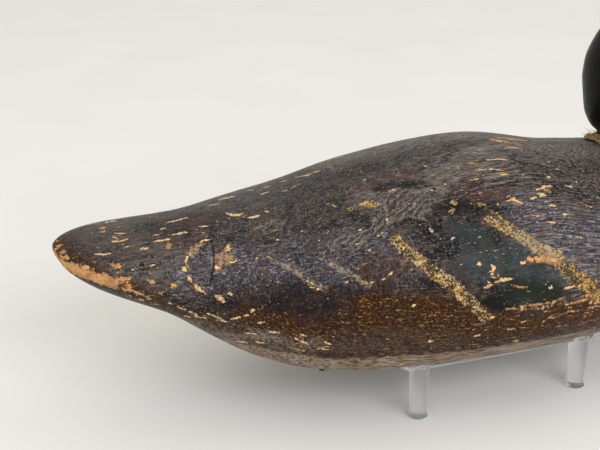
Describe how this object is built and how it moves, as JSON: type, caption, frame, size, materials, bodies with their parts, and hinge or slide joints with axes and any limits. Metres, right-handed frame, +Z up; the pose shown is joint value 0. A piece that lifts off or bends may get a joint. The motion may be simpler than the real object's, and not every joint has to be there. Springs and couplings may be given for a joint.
{
  "type": "duck decoy",
  "caption": "Carved and painted wooden duck decoy with a separate head, lifted off the table by a small clear plastic display stand.",
  "frame": {"origin": "middle of the object's bounding box, on the ground under the stand's feet", "axes": "+X from the tail to the bill, +Z up, +Y to the bird's left"},
  "size_m": [0.392, 0.155, 0.1818],
  "materials": {
    "body_paint": "worn and flaking black-brown paint over carved wood",
    "head_paint": "old near-black paint with a low sheen",
    "wood_filler": "dry fibrous filler, chipped",
    "eye_glass": "polished glass eye, dark pupil in a brown ring",
    "clear_plastic": "clear moulded plastic, glossy"
  },
  "bodies": {
    "root": {"body": "body_paint", "head": "head_paint", "neck_filler": "wood_filler", "eye_right": "eye_glass", "eye_left": "eye_glass", "display_stand": "clear_plastic"}
  },
  "joints": []
}
